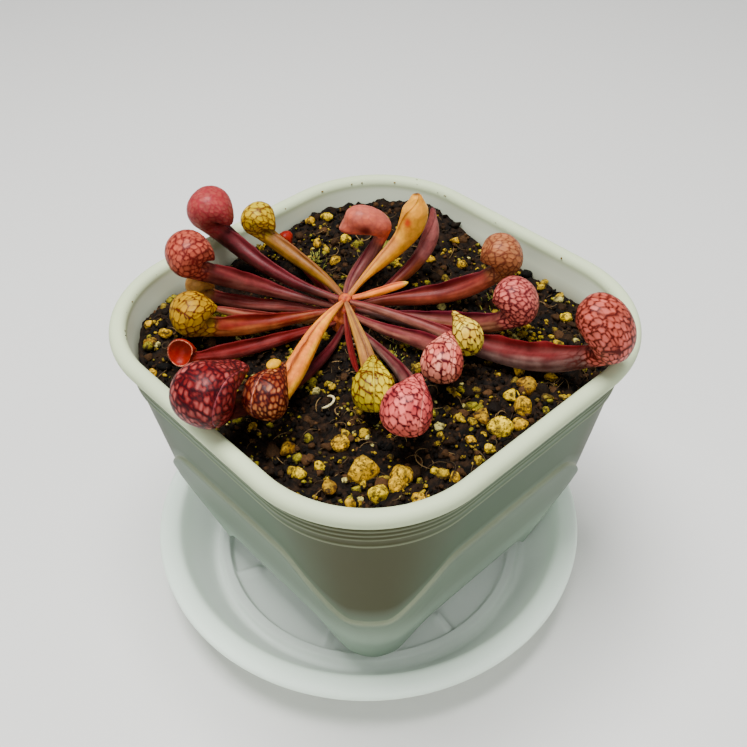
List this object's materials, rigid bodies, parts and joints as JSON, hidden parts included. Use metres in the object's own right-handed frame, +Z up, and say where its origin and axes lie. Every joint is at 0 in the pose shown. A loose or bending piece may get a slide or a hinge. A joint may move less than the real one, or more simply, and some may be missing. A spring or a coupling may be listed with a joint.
{
  "type": "potted parrot pitcher plant",
  "caption": "Low rosette of netted red and yellow parrot pitchers in a rounded-square white nursery pot filled with peat and pumice, standing on a round saucer.",
  "frame": {"origin": "centre of the saucer's flat underside", "axes": "+Z up, X and Y along the pot's straight sides"},
  "size_m": [0.1044, 0.1044, 0.0918],
  "materials": {
    "saucer_plastic": "smooth moulded plastic",
    "pot_plastic": "smooth moulded plastic, a little cloudy",
    "potting_mix": "moist peat with pumice grains",
    "crown_flesh": "matt plant flesh",
    "leaf_yellow": "waxy pitcher skin with a raised net of veins",
    "leaf_pink": "waxy pitcher skin with a raised net of veins",
    "leaf_dark_red": "waxy pitcher skin with a raised net of veins",
    "leaf_orange": "waxy pitcher skin with a raised net of veins",
    "leaf_tan": "waxy pitcher skin with a raised net of veins"
  },
  "bodies": {
    "root": {"saucer": "saucer_plastic", "pot": "pot_plastic", "soil": "potting_mix", "crown": "crown_flesh", "pitcher_01": "leaf_pink", "pitcher_02": "leaf_pink", "pitcher_03": "leaf_tan", "pitcher_04": "leaf_yellow", "pitcher_05": "leaf_dark_red", "pitcher_06": "leaf_dark_red", "pitcher_07": "leaf_orange", "pitcher_08": "leaf_yellow", "pitcher_09": "leaf_pink", "pitcher_10": "leaf_pink", "pitcher_11": "leaf_yellow", "pitcher_12": "leaf_pink", "pitcher_13": "leaf_pink", "pitcher_14": "leaf_pink", "pitcher_15": "leaf_yellow", "pitcher_16": "leaf_pink", "pitcher_17": "leaf_yellow", "pitcher_18": "leaf_dark_red", "shoot_01": "leaf_orange", "shoot_02": "leaf_tan", "shoot_03": "leaf_dark_red", "shoot_04": "leaf_dark_red"}
  },
  "joints": []
}
